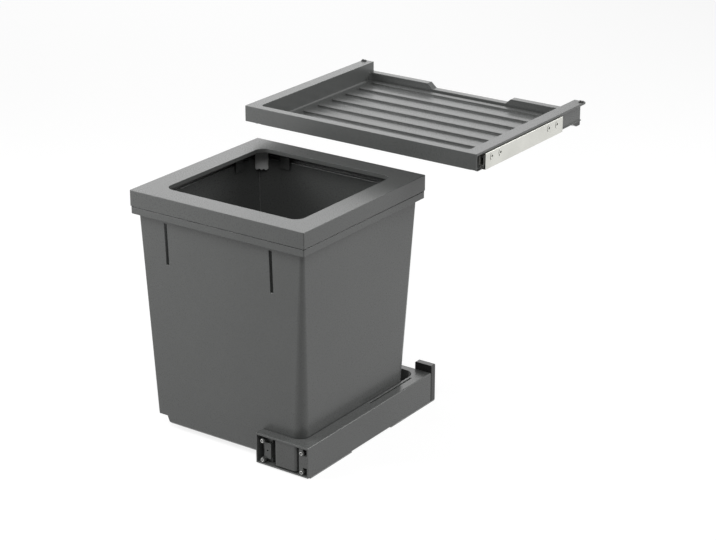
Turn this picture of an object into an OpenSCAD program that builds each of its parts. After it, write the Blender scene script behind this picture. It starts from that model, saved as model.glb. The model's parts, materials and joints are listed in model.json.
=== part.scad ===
/* [Bag frame] */
// Width of the bag frame, side to side
frame_w = 350; // [320:1:380]
// Depth of the bag frame, front to back
frame_d = 338.8; // [320:0.1:360]
// Height of the bag frame's outer skirt
frame_skirt_h = 27; // [22:0.5:36]
// Width of the flat margin round the mouth
frame_margin = 40; // [36:0.5:56]
// Wall of the bag frame
frame_wall = 3.2; // [2.5:0.1:4]
// Depth of the lip that hangs round the mouth
frame_lip_h = 7; // [5:0.5:12]
// Corner radius of the mouth
mouth_r = 17; // [10:1:24]
// Outer corner radius of the bag frame
frame_corner_r = 1.8; // [1.4:0.1:4]

/* [Bin] */
// Height of the bin over its rim
bin_h = 387; // [300:1:450]
// Height of the turned down rim
rim_h = 13; // [9:0.5:20]
// How far the rim stands in from the bag frame's skirt
rim_inset = 1; // [0.8:0.1:2.6]
// How far the wall stands in from the bag frame's skirt, at the top
wall_inset = 9.2; // [9:0.1:12]
// How far each wall leans in between the rim and the bottom
wall_lean = 15; // [8:0.5:20]
// Wall of the bin
bin_wall = 2.4; // [1.8:0.1:3.2]
// Corner radius of the bin's right side at its top
bin_top_r = 6; // [5:0.5:12]
// Corner radius of the bin's right side at its bottom
bin_bottom_r = 20; // [14:1:27]
// Corner radius of the bin's left side
bin_left_r = 4; // [3.5:0.5:12]
// Height of the step along both sides of the bottom
step_h = 14.2; // [8:0.2:20]
// Width of the step along both sides of the bottom
step_w = 19.1; // [18:0.1:24]
// Height of the air slots
vent_h = 72.5; // [40:0.5:100]
// Width of the air slots
vent_w = 5.8; // [3:0.2:7]
// Distance between the two air slots of the front wall
vent_spacing = 212; // [140:1:240]
// How far the pair of air slots stands left of the bin's middle
vent_left = 4; // [0:0.5:8]

/* [Carriage] */
// Width of the carriage housing
bar_w = 104.5; // [100:0.5:130]
// Length of the carriage housing past its runner, for the front end and the well's end
bar_room = 29; // [28:0.5:40]
// Height of the housing's top above the cabinet floor
bar_h = 56; // [54:0.5:64]
// Wall of the housing
bar_wall = 2.6; // [2:0.1:3.5]
// Thickness of the housing's floor plate
bar_floor_t = 5.7; // [3:0.1:7]
// How far the housing stands out past the bag frame's side
bar_overhang = 1.5; // [0:0.5:4]
// How far the housing stands back from the bag frame's front
bar_setback = 3.5; // [0:0.5:5]
// Depth of the pocket in the housing's front end
pocket_d = 17; // [14:0.5:18]
// Width of the centre block in the front end
block_w = 44; // [34:1:48]
// Distance across the front fixing screws
screw_span_x = 78.5; // [74:0.5:82]
// Distance up the front fixing screws
screw_span_z = 34; // [30:0.5:36]

/* [Base rail] */
// Thickness of the rail's two feet and its upright
rail_t = 2; // [1.5:0.1:3]
// How far the front foot stands back under the housing
foot_setback = 7; // [0:0.5:12]
// Width of the feet
foot_w = 48.5; // [44:0.5:60]
// Length of each foot under the housing
foot_len = 122; // [80:1:140]
// Distance from the housing's right face to the floor screws
fix_inset = 35.5; // [31:0.5:38]
// Distance between the outer floor screws
fix_outer = 300; // [250:1:320]
// Distance between the inner floor screws
fix_inner = 172; // [160:1:200]
// Radius of the floor screw holes
fix_r = 2.6; // [2:0.1:3.2]
// Width of the rear stop
stop_w = 34; // [28:1:40]
// Thickness of the rear stop
stop_t = 11.9; // [10:0.1:16]
// Height of the rear stop's top above the housing
stop_rise = 13; // [8:1:18]

/* [Runners] */
// Thickness of every telescopic runner
run_t = 12.7; // [12.2:0.1:14]
// Height of the carriage runner
base_run_h = 45; // [42:0.5:47]
// Length and travel of the carriage runner
base_run_len = 330; // [300:1:332]
// Height of the tray runners
tray_run_h = 28; // [27:0.5:32]
// Length and travel of the tray runners
tray_run_len = 250; // [200:1:260]
// Sheet thickness of the runners
run_wall = 1.2; // [1:0.05:1.4]
// Diameter of the runner balls
ball_d = 3; // [2.8:0.1:3.2]
// Balls in each row of a runner
ball_count = 6; // [4:1:8]
// Distance from each end of a tray runner to its outer mounting hole
rail_hole_inset = 19.5; // [14:0.5:30]
// Radius of the mounting holes of a tray runner
rail_hole_r = 2.25; // [1.8:0.05:2.6]

/* [Tray] */
// Width over the outer faces of the two tray runners
rail_span = 476; // [468:0.5:520]
// Depth of the tray
tray_d = 359.5; // [340:0.5:400]
// Height of the tray's top above the bag frame
tray_rise = 60; // [58:1:80]
// How far the tray laps over the bag frame's back edge
tray_lap = 16.8; // [5:0.2:30]
// How far the left runner stands out past the bag frame
tray_out = 16; // [12:0.5:20]
// Width of the tray's side flanges
flange_w = 25.5; // [23:0.5:32]
// How far each flange's edge stands in from the runner's outer face
flange_inset = 2.5; // [0.8:0.1:4]
// Width of the tray's front rim
front_rim_w = 15; // [12:0.5:20]
// Wall of the tray
tray_wall = 2.5; // [2:0.1:3]
// Height of the tray's front skirt
skirt_h = 27.8; // [24:0.2:30]
// Depth of the tray below its flanges
tray_deep = 33; // [32:0.5:40]
// Thickness of the tray's rear wall
rear_wall_t = 14; // [10:0.5:18]
// Height of the rear wall above the floor, at both sides
rear_wall_h = 16; // [12:0.5:20]
// Height of the rear wall above the floor, in the low stretch
rear_low_h = 6.5; // [5.5:0.5:10]
// Distance from the tray's left side wall to the low stretch of the rear wall
rear_low_from = 152.3; // [60:0.1:180]
// Width of the low stretch of the rear wall
rear_low_w = 154; // [100:1:200]
// Ribs across the tray's floor
rib_count = 8; // [5:1:8]
// Distance from rib to rib
rib_pitch = 43; // [36:0.5:43]
// Width of each rib
rib_w = 12; // [8:0.5:16]
// Height of each rib
rib_h = 3.4; // [2:0.2:5]

/* [Hidden] */
$fn = 48;

// Overrun of every cut, gap of a seat, and gap beside a moving piece
over = 1;
seat_gap = 0.3;
side_gap = 0.8;

// Length of the housing
bar_len = base_run_len + bar_room;

// Housing, with the floor screw line at x = 0 and the middle of its length at y = 0
bar_right = fix_inset;
bar_left = bar_right - bar_w;
bar_front = -bar_len / 2;
bar_rear = bar_len / 2;
bar_bottom = rail_t + seat_gap;
bar_top_t = 3;
bar_edge = 1.6;

// Bag frame
frame_right = bar_right - bar_overhang;
frame_left = frame_right - frame_w;
frame_front = bar_front - bar_setback;
frame_rear = frame_front + frame_d;
frame_mid_x = frame_left + frame_w / 2;
frame_mid_y = frame_front + frame_d / 2;
frame_edge = 0.5;
frame_inner_r = 1;
lip_t = 2.6;

// Heights of the bin and the bag frame on it
bin_z = bar_bottom + bar_floor_t + seat_gap;
bin_top = bin_z + bin_h;
frame_z = bin_top + seat_gap;
frame_top = frame_z + frame_skirt_h;

// Locating tabs that hang from the bag frame inside the bin's walls
tab_w = 20;
tab_t = 2.6;
tab_from = 60;
tab_drop = 13.5;

// Corner clips under the bag frame
clip_w = 20.5;
clip_d = 12;
clip_reach = 18;
clip_cut = 6;
clip_teeth = 3;
clip_tooth_h = 4.4;
clip_gap = 1.8;

// Bin
rim_lip_t = 2.4;
rim_corner_r = 2;
rim_inner_r = 1;
bin_edge = 4;
collar_gap = 0.6;
collar_t = 2.2;
collar_h = 4;
collar_r = 1.2;
step_slope = 5;
vent_drop = 7;
bin_slope = wall_lean / bin_h;
bin_w_top = frame_w - 2 * wall_inset;
bin_d_top = frame_d - 2 * wall_inset;

// Well of the housing that the bin's foot stands in
inset_at_bar = wall_inset + bin_slope * (bin_top - bar_h);
well_front = frame_front + inset_at_bar - side_gap;
well_right = frame_right - inset_at_bar + side_gap;
well_end_t = 14.4;
well_rear = bar_rear - well_end_t;
well_r = bin_top_r + (bin_bottom_r - bin_top_r) * (bin_top - bar_h) / bin_h + side_gap;
shelf_z = bin_z + step_h - seat_gap;
shelf_t = 2.7;
riser_t = 3.6;
step_right = frame_right - wall_inset - wall_lean - step_w;
riser_left = step_right + side_gap;

// Hollow of the housing that holds the carriage runner
hollow_left = well_right + riser_t;
hollow_right = bar_right - bar_wall;
hollow_top = bar_h - bar_top_t;
hollow_front = well_front + bar_wall;
groove_w = 3;
groove_in = 0.5;
groove_len = 125;
groove_back = 37;

// Base rail
upright_left = hollow_left + run_t;
foot_left = bar_right - foot_w;
stop_front = bar_rear + seat_gap;
stop_rear = stop_front + stop_t;
stop_edge = 1;
upright_gap = 1.5;
upright_tail = 8;
arch_h = 8;

// Runners: sizes of the folded sheets and the gaps that the balls run in
race_gap = 1.9;
race_clear = 0.06;
run_front_gap = 2;
fixed_reach = run_t - run_front_gap;
middle_back = 3.4;
moving_reach = 6.8;
outer_race_u = 5.6;
inner_race_u = 8.9;
cage_t = 0.7;
cage_w = 4.4;
cage_end = 12;
hole_rise = 4.5;
rail_hole_span = tray_run_len - 2 * rail_hole_inset;
inner_hole_inset = 26.8;
run_screw_r = 1.7;
run_screw_head_r = 3.2;
run_screw_head_h = 1.6;
run_screw_len = 3.6;
run_screw_ends = 34;
rivet_r = 2.2;

// Places of the carriage runner and the two tray runners
base_run_y = bar_rear - seat_gap - base_run_len - side_gap;
base_run_z = (rail_t + hollow_top) / 2;
tray_x0 = frame_left - tray_out;
tray_x1 = tray_x0 + rail_span;
tray_mid_x = (tray_x0 + tray_x1) / 2;
tray_front = frame_rear - tray_lap;
tray_rear = tray_front + tray_d;
tray_top = frame_top + tray_rise;
tray_run_setback = 26;
tray_run_y = tray_front + tray_run_setback;
tray_run_drop = 4.9;
tray_run_z = tray_top - tray_run_drop - tray_run_h / 2;

// Tray
flange_t = 4;
flange_edge = 1;
flange_r = 2;
body_slope = 6;
web_left = tray_x0 + run_t;
web_right = tray_x1 - run_t;
basin_left = tray_x0 + flange_w;
basin_right = tray_x1 - flange_w;
basin_front = tray_front + front_rim_w;
basin_rear = tray_rear - rear_wall_t;
basin_r = 8;
basin_foot_r = 4.5;
floor_top = tray_top - tray_deep;
floor_bottom = floor_top - tray_wall;
rear_slope = 11;
rib_end_inset = 17;
rib_back = 6.5;

// Catches under the tray's rear corners and clips on its flanges
catch_l = 24;
catch_h = 8;
catch_nose = 1.6;
catch_slope = 12;
catch_grip_h = 12;
catch_gap = 0.25;
clip_from_web = 0.5;
clip_plate_w = 9.2;
clip_plate_d = 8;
clip_back = 2.5;
clip_plate_t = 1.1;
clip_bump_h = 2.6;
clip_bump_r = 1.9;
clip_peg_r = 1.3;
clip_plate_r = 1.5;

// Lip along the lower edge of the tray's side walls
web_lip_w = 2;
web_lip_h = 1.9;

// Front fixing brackets
boss_r = 4.4;
bush_r = 2.8;
bush_bore_r = 1.9;
bush_h = 1.8;
screw_r = 1.75;
screw_len = 9;
socket_r = 1.1;
socket_d = 2.4;
screw_back = 0.6;
bracket_back = 6;
bracket_gap = 0.4;
web_h = 28;
web_reach = 6;
web_mark_r = 1.4;
scoop_h = 22;
scoop_reach = 0.8;
scoop_r = 6;
block_r = 5;
block_back = 1.6;
block_lift = 2.6;
block_foot = 6;
block_groove = 10;
notch_w = 9;
notch_h = 13;
screw_mid_inset = 51;
screw_mid_drop = 3;
screw_mid_x = bar_left + screw_mid_inset;
screw_mid_z = bar_bottom + (bar_h - bar_bottom) / 2 - screw_mid_drop;
screw_left_x = screw_mid_x - screw_span_x / 2;
screw_right_x = screw_mid_x + screw_span_x / 2;
block_inset = 36;
block_left = bar_left + block_inset;
pocket_rim = 2.2;

// Plain shapes

module rounded_rect(w, d, r) {
    square([w - 2 * r, d], center = true);
    square([w, d - 2 * r], center = true);
    for (sx = [-1, 1], sy = [-1, 1])
        translate([sx * (w / 2 - r), sy * (d / 2 - r)]) circle(r);
}

module rounded_slab(w, d, h, r) {
    linear_extrude(h) rounded_rect(w, d, r);
}

// Slab with its upper edge broken all round
module soft_slab(w, d, h, r, edge) {
    hull() {
        linear_extrude(h - edge) rounded_rect(w, d, r);
        linear_extrude(h) rounded_rect(w - 2 * edge, d - 2 * edge, r - edge);
    }
}

module box(x0, x1, y0, y1, z0, z1) {
    translate([x0, y0, z0]) cube([x1 - x0, y1 - y0, z1 - z0]);
}

// Profile in x and z, drawn out along y
module along_y(y0, y1) {
    translate([0, y1, 0]) rotate([90, 0, 0]) linear_extrude(y1 - y0) children();
}

// Profile in y and z, drawn out along x
module along_x(x0, x1) {
    translate([x0, 0, 0]) rotate([90, 0, 90]) linear_extrude(x1 - x0) children();
}

module rod_x(x0, x1, y, z, r) {
    translate([x0, y, z]) rotate([0, 90, 0]) cylinder(h = x1 - x0, r = r);
}

module rod_y(x, y0, y1, z, r) {
    translate([x, y1, z]) rotate([90, 0, 0]) cylinder(h = y1 - y0, r = r);
}

// Bag frame and its corner clips

module bag_frame() {
    color([0.42, 0.43, 0.42]) translate([frame_mid_x, frame_mid_y, frame_z]) {
        mouth_w = frame_w - 2 * frame_margin;
        mouth_d = frame_d - 2 * frame_margin;
        difference() {
            soft_slab(frame_w, frame_d, frame_skirt_h, frame_corner_r, frame_edge);
            translate([0, 0, -over])
                rounded_slab(
                    frame_w - 2 * frame_wall, frame_d - 2 * frame_wall,
                    frame_skirt_h - frame_wall + over, frame_inner_r
                );
            rounded_slab(mouth_w, mouth_d, frame_skirt_h + over, mouth_r);
        }
        translate([0, 0, frame_skirt_h - frame_lip_h]) difference() {
            rounded_slab(
                mouth_w + 2 * lip_t, mouth_d + 2 * lip_t,
                frame_lip_h - frame_wall / 2, mouth_r + lip_t
            );
            translate([0, 0, -over])
                rounded_slab(mouth_w, mouth_d, frame_lip_h + 2 * over, mouth_r);
        }
        locating_tabs();
    }
}

module locating_tabs() {
    gap = wall_inset + bin_wall + clip_gap / 2;
    for (sx = [0, 1], sy = [0, 1]) mirror([sx, 0, 0]) mirror([0, sy, 0]) {
        box(
            -frame_w / 2 + tab_from, -frame_w / 2 + tab_from + tab_w,
            -frame_d / 2 + gap, -frame_d / 2 + gap + tab_t, -tab_drop, frame_skirt_h - frame_wall / 2
        );
        box(
            -frame_w / 2 + gap, -frame_w / 2 + gap + tab_t,
            -frame_d / 2 + tab_from, -frame_d / 2 + tab_from + tab_w,
            -tab_drop, frame_skirt_h - frame_wall / 2
        );
    }
}

// One clip, with its outer corner at the origin and its teeth below z = 0
module corner_clip() {
    top = frame_skirt_h - frame_wall;
    pitch = clip_w / clip_teeth;
    difference() {
        translate([0, 0, -clip_reach - clip_tooth_h]) linear_extrude(top + clip_reach + clip_tooth_h)
            polygon([[clip_cut, 0], [clip_w, 0], [clip_w, clip_cut / 3],
                     [clip_cut / 3, clip_d], [0, clip_d], [0, clip_cut]]);
        for (i = [0:clip_teeth])
            translate([i * pitch, 0, -clip_reach - clip_tooth_h]) rotate([0, 45, 0])
                translate([-clip_tooth_h / 2, -over, -clip_tooth_h / 2])
                    cube([clip_tooth_h, clip_d + 2 * over, clip_tooth_h]);
    }
}

module corner_clips() {
    color([0.55, 0.56, 0.55]) translate([frame_mid_x, frame_mid_y, frame_z])
        for (sx = [0, 1], sy = [0, 1])
            mirror([sx, 0, 0]) mirror([0, sy, 0])
                translate([
                    -frame_w / 2 + wall_inset + bin_wall + clip_gap,
                    -frame_d / 2 + wall_inset + bin_wall + clip_gap, 0
                ]) corner_clip();
}

// Bin

// Outline whose left corners keep their own radius
module bin_outline(shrink, edge, w, d, r) {
    left_r = max(bin_left_r - shrink - edge, rim_inner_r);
    half_w = w / 2 - shrink - edge;
    half_d = d / 2 - shrink - edge;
    right_r = r - shrink - edge;
    for (sy = [-1, 1]) {
        translate([left_r - half_w, sy * (half_d - left_r)]) circle(left_r, $fn = 32);
        translate([half_w - right_r, sy * (half_d - right_r)]) circle(right_r, $fn = 32);
    }
}

module bin_hull(shrink, z0, z1, edge) {
    bottom_w = bin_w_top - 2 * wall_lean;
    bottom_d = bin_d_top - 2 * wall_lean;
    hull() {
        translate([0, 0, z1 - over])
            linear_extrude(over) bin_outline(shrink, 0, bin_w_top, bin_d_top, bin_top_r);
        translate([0, 0, z0 + edge])
            linear_extrude(over) bin_outline(shrink, 0, bottom_w, bottom_d, bin_bottom_r);
        translate([0, 0, z0])
            linear_extrude(over) bin_outline(shrink, edge, bottom_w, bottom_d, bin_bottom_r);
    }
}

// What the side steps take away from the bin's foot, raised by the wall for the inside
module bin_steps(rise) {
    reach = bin_w_top / 2 - wall_lean - step_w - rise;
    for (side = [0, 1]) mirror([side, 0, 0])
        along_y(-frame_d / 2, frame_d / 2)
            polygon([[reach - step_slope, -over], [reach - step_slope, 0], [reach, step_h + rise],
                     [frame_w, step_h + rise], [frame_w, -over]]);
}

module bin_vents() {
    for (sx = [-1, 1])
        translate([
            sx * vent_spacing / 2 - vent_left - vent_w / 2, -frame_d / 2,
            bin_h - rim_h - vent_drop - vent_h
        ]) cube([vent_w, frame_d / 2, vent_h]);
}

// Collar on the rim that stands inside the bag frame's skirt
module bin_collar() {
    w = frame_w - 2 * frame_wall - 2 * collar_gap;
    d = frame_d - 2 * frame_wall - 2 * collar_gap;
    translate([0, 0, bin_h - rim_lip_t / 2]) difference() {
        rounded_slab(w, d, rim_lip_t / 2 + collar_h, collar_r);
        translate([0, 0, -over])
            rounded_slab(w - 2 * collar_t, d - 2 * collar_t, rim_lip_t + collar_h + 2 * over, collar_r);
    }
}

module bin() {
    color([0.40, 0.41, 0.40]) translate([frame_mid_x, frame_mid_y, bin_z]) {
        bin_collar();
        difference() {
            bin_hull(0, 0, bin_h - rim_lip_t / 2, bin_edge);
            bin_steps(0);
            difference() {
                bin_hull(bin_wall, bin_wall, bin_h + over, bin_edge);
                bin_steps(bin_wall);
            }
            bin_vents();
        }
        translate([0, 0, bin_h - rim_h]) difference() {
            rounded_slab(frame_w - 2 * rim_inset, frame_d - 2 * rim_inset, rim_h, rim_corner_r);
            translate([0, 0, -over])
                rounded_slab(
                    frame_w - 2 * rim_inset - 2 * rim_lip_t, frame_d - 2 * rim_inset - 2 * rim_lip_t,
                    rim_h - rim_lip_t + over, rim_inner_r
                );
            rounded_slab(
                bin_w_top - 2 * bin_wall, bin_d_top - 2 * bin_wall,
                rim_h + over, bin_top_r - bin_wall
            );
        }
    }
}

// Carriage

module housing_outline() {
    polygon([[bar_left, bar_bottom], [bar_left, bar_h - bar_edge / 2], [bar_left + bar_edge / 2, bar_h],
             [bar_right - bar_edge, bar_h], [bar_right, bar_h - bar_edge], [bar_right, bar_bottom]]);
}

module well() {
    reach = bar_w;
    well_w = well_right - bar_left + reach;
    well_d = well_rear - well_front;
    translate([well_right - well_w / 2, (well_front + well_rear) / 2, 0]) {
        translate([0, 0, shelf_z]) rounded_slab(well_w, well_d, bar_h, well_r);
        intersection() {
            rounded_slab(well_w, well_d, bar_h, well_r);
            translate([riser_left - well_right, 0, bar_bottom + bar_floor_t + bar_h / 2])
                cube([well_w, well_d + over, bar_h], center = true);
        }
    }
}

module front_pocket() {
    box(
        bar_left + pocket_rim, hollow_right, bar_front - over, bar_front + pocket_d,
        bar_bottom + pocket_rim, bar_h - pocket_rim - bar_edge
    );
}

module carriage_housing() {
    color([0.40, 0.41, 0.40]) difference() {
        along_y(bar_front, bar_rear) housing_outline();
        well();
        front_pocket();
        box(hollow_left, hollow_right, hollow_front, bar_rear + over, bar_bottom - over, hollow_top);
        box(
            riser_left + riser_t, hollow_left + over, hollow_front, bar_rear + over,
            bar_bottom - over, shelf_z - shelf_t
        );
        box(
            hollow_left + groove_in, hollow_left + groove_in + groove_w,
            bar_rear - groove_back - groove_len, bar_rear - groove_back, hollow_top - over, bar_h + over
        );
        for (y = screw_places(base_run_y, base_run_len))
            rod_x(
                hollow_left - run_screw_len + run_wall, hollow_left + over,
                y, base_run_z, run_screw_r + race_clear
            );
    }
}

module front_block() {
    z0 = bar_bottom + pocket_rim;
    z1 = bar_h - pocket_rim - bar_edge;
    d = pocket_d - block_back;
    color([0.47, 0.48, 0.47]) {
        translate([block_left + block_w / 2, bar_front + block_back + d / 2, z0 + block_lift])
            rounded_slab(block_w, d, z1 - z0 - block_lift, block_r);
        box(
            block_left + block_foot, block_left + block_w - block_foot,
            bar_front + bracket_back, bar_front + pocket_d, z0, z0 + block_lift + over
        );
    }
}

// Boss round each front screw, with the bore that takes the bush and the screw
module bracket_bosses(x) {
    for (sz = [-1, 1])
        rod_y(
            x, bar_front + screw_back + bush_h, bar_front + pocket_d,
            screw_mid_z + sz * screw_span_z / 2, boss_r
        );
}

module bracket_bores(x) {
    for (sz = [-1, 1])
        rod_y(
            x, bar_front - over, bar_front + pocket_d + over,
            screw_mid_z + sz * screw_span_z / 2, screw_r + bracket_gap / 4
        );
}

module left_front_bracket() {
    z0 = bar_bottom + pocket_rim;
    z1 = bar_h - pocket_rim - bar_edge;
    x1 = block_left - block_groove;
    back = bar_front + pocket_d;
    color([0.50, 0.51, 0.50]) difference() {
        union() {
            box(screw_left_x, x1, back - bracket_back, back, z0 + bracket_gap, z1 - bracket_gap);
            box(
                screw_left_x, x1, bar_front + bracket_back, back,
                screw_mid_z - web_h / 2, screw_mid_z + web_h / 2
            );
            bracket_bosses(screw_left_x);
        }
        along_y(bar_front, back + over) translate([screw_left_x + scoop_reach - scoop_h / 2, screw_mid_z])
            rounded_rect(scoop_h, scoop_h, scoop_r);
        rod_y(
            (screw_left_x + scoop_reach + x1) / 2, bar_front, bar_front + 2 * bracket_back,
            screw_mid_z, web_mark_r
        );
        bracket_bores(screw_left_x);
    }
}

module right_front_bracket() {
    z0 = bar_bottom + pocket_rim;
    z1 = bar_h - pocket_rim - bar_edge;
    x0 = block_left + block_w + bracket_gap;
    x1 = hollow_right - bracket_gap;
    back = bar_front + pocket_d;
    color([0.50, 0.51, 0.50]) difference() {
        union() {
            box(x0, x1, back - bracket_back, back, z0 + bracket_gap, z1 - bracket_gap);
            box(
                screw_right_x - web_reach, x1, bar_front + bracket_back / 2, back,
                z0 + bracket_gap, z1 - bracket_gap
            );
            bracket_bosses(screw_right_x);
        }
        difference() {
            union() {
                box(x1 - notch_w, x1 + over, bar_front, bar_front + pocket_d - rail_t, z0, z0 + notch_h);
                box(x1 - notch_w, x1 + over, bar_front, bar_front + pocket_d - rail_t, z1 - notch_h, z1);
            }
            bracket_bosses(screw_right_x);
        }
        bracket_bores(screw_right_x);
    }
}

module at_front_screws() {
    for (x = [screw_left_x, screw_right_x], sz = [-1, 1])
        translate([x, bar_front, screw_mid_z + sz * screw_span_z / 2]) rotate([-90, 0, 0]) children();
}

module bracket_bushes() {
    color([0.80, 0.80, 0.78]) at_front_screws() translate([0, 0, screw_back]) difference() {
        cylinder(h = bush_h, r = bush_r);
        translate([0, 0, -over]) cylinder(h = bush_h + 2 * over, r = bush_bore_r);
    }
}

module bracket_screws() {
    color([0.86, 0.86, 0.84]) at_front_screws() difference() {
        translate([0, 0, screw_back]) cylinder(h = screw_len, r = screw_r);
        translate([0, 0, -over]) cylinder(h = socket_d + screw_back + over, r = socket_r, $fn = 6);
    }
}

// Base rail and the stop behind the carriage

module base_rail() {
    color([0.62, 0.63, 0.62]) difference() {
        union() {
            box(foot_left, bar_right, bar_front + foot_setback, bar_front + foot_len, 0, rail_t);
            box(foot_left, bar_right, bar_rear - foot_len, stop_rear, 0, rail_t);
            box(
                upright_left, upright_left + rail_t, hollow_front + seat_gap,
                stop_front + upright_tail, 0, hollow_top - upright_gap
            );
        }
        box(
            upright_left - over, upright_left + rail_t + over,
            bar_front + foot_len, bar_rear - foot_len, -over, arch_h
        );
        for (y = [-fix_outer / 2, -fix_inner / 2, fix_inner / 2, fix_outer / 2])
            translate([0, y, -over]) cylinder(h = rail_t + 2 * over, r = fix_r);
        for (y = screw_places(base_run_y, base_run_len))
            rod_x(upright_left - over, upright_left + rail_t + over, y, base_run_z, rivet_r + race_clear);
        for (z = stop_screw_places())
            rod_x(
                upright_left - over, upright_left + rail_t + over,
                stop_front + upright_tail / 2, z, run_screw_r + race_clear
            );
    }
}

function stop_screw_places() = [hollow_top / 4, hollow_top * 3 / 4];

module rear_stop() {
    x1 = bar_right + stop_edge / 2;
    x0 = x1 - stop_w;
    z1 = bar_h + stop_rise;
    color([0.36, 0.37, 0.36]) difference() {
        along_y(stop_front, stop_rear)
            polygon([[x0, rail_t], [x0, z1 - stop_edge], [x0 + stop_edge, z1],
                     [x1 - stop_edge, z1], [x1, z1 - stop_edge], [x1, rail_t]]);
        box(
            upright_left - race_clear, upright_left + rail_t + race_clear, stop_front - over,
            stop_front + upright_tail + seat_gap, rail_t - over, hollow_top
        );
        for (z = stop_screw_places()) {
            rod_x(
                x0 - over, upright_left + rail_t + run_screw_len,
                stop_front + upright_tail / 2, z, run_screw_r + race_clear
            );
            rod_x(
                x0 - over, upright_left - run_screw_len,
                stop_front + upright_tail / 2, z, run_screw_head_r + race_clear
            );
        }
    }
}

module stop_screws() {
    color([0.75, 0.75, 0.73]) for (z = stop_screw_places())
        translate([upright_left - run_screw_len, stop_front + upright_tail / 2, z]) rotate([0, -90, 0]) {
            cylinder(h = run_screw_head_h, r = run_screw_head_r);
            translate([0, 0, -run_screw_len - rail_t - run_screw_len / 2])
                cylinder(h = run_screw_len + rail_t + run_screw_len / 2, r = run_screw_r);
        }
}

// Telescopic runner: its back lies at x = 0, it opens towards +x, and it runs from y = 0 along +y

// Middle of a ball race: level 0 is the outer race, level 1 the inner
function race_u(level) = level == 0 ? outer_race_u : inner_race_u;
function race_half(h, level) =
    h / 2 - run_wall - race_gap / 2 - level * (run_wall + race_gap);

function screw_places(y0, len) = [y0 + run_screw_ends, y0 + len / 2, y0 + len - run_screw_ends];

function ball_places(y0, len) =
    [for (i = [0:ball_count - 1])
        y0 + cage_end / 2 + (len - cage_end) * i / (ball_count - 1)];

module race_grooves(h, level) {
    for (sz = [-1, 1])
        translate([race_u(level), sz * race_half(h, level)]) circle(ball_d / 2 + race_clear);
}

module channel(h, back, front) {
    difference() {
        translate([back, -h / 2]) square([front - back, h]);
        translate([back + run_wall, -h / 2 + run_wall]) square([front - back, h - 2 * run_wall]);
    }
}

module fixed_member(h, len) {
    along_y(0, len) difference() {
        channel(h, 0, fixed_reach);
        race_grooves(h, 0);
    }
}

module middle_member(h, len) {
    along_y(0, len) difference() {
        channel(h - 2 * (run_wall + race_gap), middle_back, fixed_reach);
        race_grooves(h, 0);
        race_grooves(h, 1);
    }
}

module moving_member(h, len) {
    difference() {
        along_y(0, len) difference() {
            translate([run_t, 0]) mirror([1, 0]) channel(h - 4 * (run_wall + race_gap), 0, moving_reach);
            race_grooves(h, 1);
        }
        for (y = screw_places(0, len))
            rod_x(run_t - run_wall - over, run_t + over, y, 0, run_screw_r + race_clear);
    }
}

// The outer race's cages ride at the back of the middle member and the inner race's at its front
module at_cages(h, len) {
    for (level = [0, 1], sz = [-1, 1])
        translate([race_u(level), level == 0 ? len / 2 + cage_end : cage_end, sz * race_half(h, level)])
            children();
}

module ball_cages(h, len) {
    cage_len = len / 2 - 2 * cage_end;
    color([0.16, 0.16, 0.17]) at_cages(h, len) difference() {
        translate([-cage_w / 2, 0, -cage_t / 2]) cube([cage_w, cage_len, cage_t]);
        for (y = ball_places(0, cage_len))
            translate([0, y, -over]) cylinder(h = 2 * over, r = ball_d / 2 + race_clear);
    }
}

module balls(h, len) {
    cage_len = len / 2 - 2 * cage_end;
    color([0.85, 0.85, 0.86]) at_cages(h, len)
        for (y = ball_places(0, cage_len))
            translate([0, y, 0]) sphere(ball_d / 2, $fn = 16);
}

module run_screws(len) {
    color([0.75, 0.75, 0.73]) for (y = screw_places(0, len))
        translate([run_t - run_wall - run_screw_head_h, y, 0]) rotate([0, 90, 0]) {
            cylinder(h = run_screw_head_h, r = run_screw_head_r);
            cylinder(h = run_screw_head_h + run_screw_len, r = run_screw_r);
        }
}

module steel() {
    color([0.78, 0.78, 0.75]) children();
}

module at_base() {
    translate([upright_left, base_run_y, base_run_z]) mirror([1, 0, 0]) children();
}

module at_left() {
    translate([tray_x0, tray_run_y, tray_run_z]) children();
}

module at_right() {
    translate([tray_x1, tray_run_y, tray_run_z]) mirror([1, 0, 0]) children();
}

module base_fixed_member() {
    steel() at_base() difference() {
        fixed_member(base_run_h, base_run_len);
        for (y = screw_places(0, base_run_len))
            rod_x(-over, run_wall + over, y, 0, rivet_r + race_clear);
    }
}

module base_rail_rivets() {
    head_h = run_wall / 2;
    color([0.7, 0.7, 0.68]) at_base() for (y = screw_places(0, base_run_len)) {
        rod_x(-rail_t - head_h, run_wall + head_h, y, 0, rivet_r);
        rod_x(run_wall, run_wall + head_h, y, 0, rivet_r * 3 / 2);
        rod_x(-rail_t - head_h, -rail_t, y, 0, rivet_r * 3 / 2);
    }
}

module base_middle_member() { steel() at_base() middle_member(base_run_h, base_run_len); }
module base_moving_member() { steel() at_base() moving_member(base_run_h, base_run_len); }
module base_ball_cages() { at_base() ball_cages(base_run_h, base_run_len); }
module base_balls() { at_base() balls(base_run_h, base_run_len); }
module carriage_screws() { at_base() run_screws(base_run_len); }

// Member that is screwed to the cabinet's side, with its mounting holes
module cabinet_member() {
    mid = tray_run_len / 2;
    steel() difference() {
        fixed_member(tray_run_h, tray_run_len);
        for (side = [-1, 1], reach = [rail_hole_span / 2, rail_hole_span / 2 - inner_hole_inset])
            rod_x(-over, run_wall + over, mid + side * reach, hole_rise, rail_hole_r);
    }
}

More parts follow.
